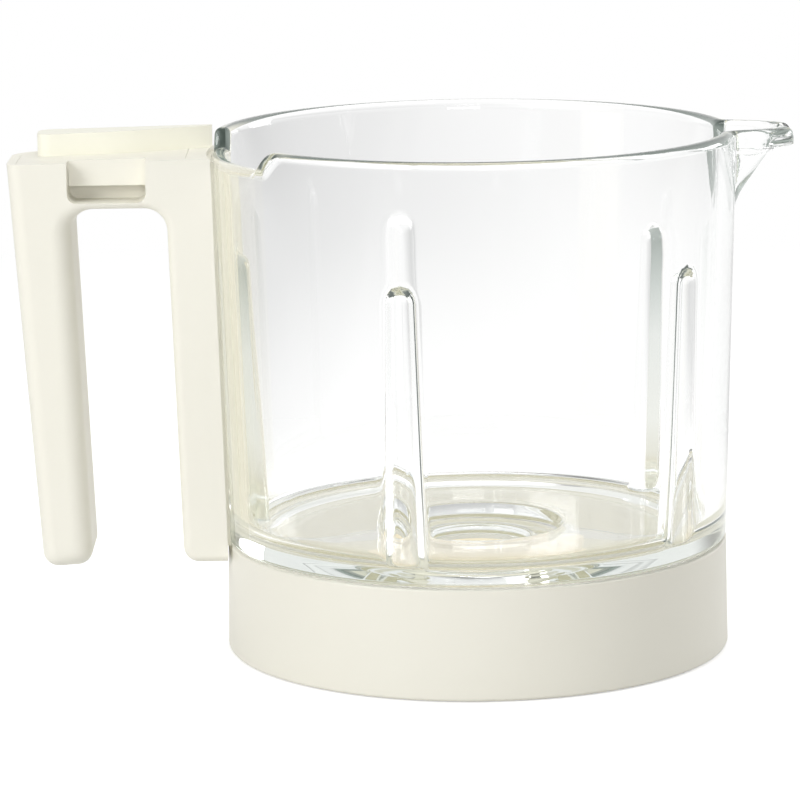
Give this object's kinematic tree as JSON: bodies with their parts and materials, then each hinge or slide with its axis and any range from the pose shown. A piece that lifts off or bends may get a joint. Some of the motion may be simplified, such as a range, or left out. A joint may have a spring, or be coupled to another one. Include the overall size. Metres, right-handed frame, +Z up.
{
  "type": "baby food maker bowl",
  "caption": "Clear glass bowl of a baby food maker with pouring spout, inner ribs, moulded plastic handle and a turn-off plastic base that holds the blade hub.",
  "frame": {"origin": "axis of the bowl at the plane that the base stands on", "axes": "+Z up along the axis of the bowl, +X towards the spout, handle at -X"},
  "size_m": [0.2032, 0.1362, 0.1363],
  "materials": {
    "clear_glass": "clear pressed glass, polished",
    "ivory_plastic": "ivory moulded plastic, satin",
    "tan_plastic": "tan moulded plastic, satin",
    "white_silicone": "white silicone, matte",
    "clear_silicone": "translucent silicone, matte",
    "screw_steel": "stainless steel"
  },
  "bodies": {
    "bowl": {"glass_bowl": "clear_glass", "handle_shell": "ivory_plastic", "handle_cap": "ivory_plastic", "lid_stop": "ivory_plastic", "handle_pad": "clear_silicone"},
    "base": {"base_ring": "ivory_plastic", "foot_gasket": "white_silicone", "hub_insert": "tan_plastic", "hub_seal": "white_silicone", "hub_screws": "screw_steel"}
  },
  "joints": [
    {"name": "base_turn", "type": "hinge", "parent": "bowl", "child": "base", "pos_m": [0, 0, 0], "axis": [0, 0, 1], "range_deg": [0, 35]}
  ]
}
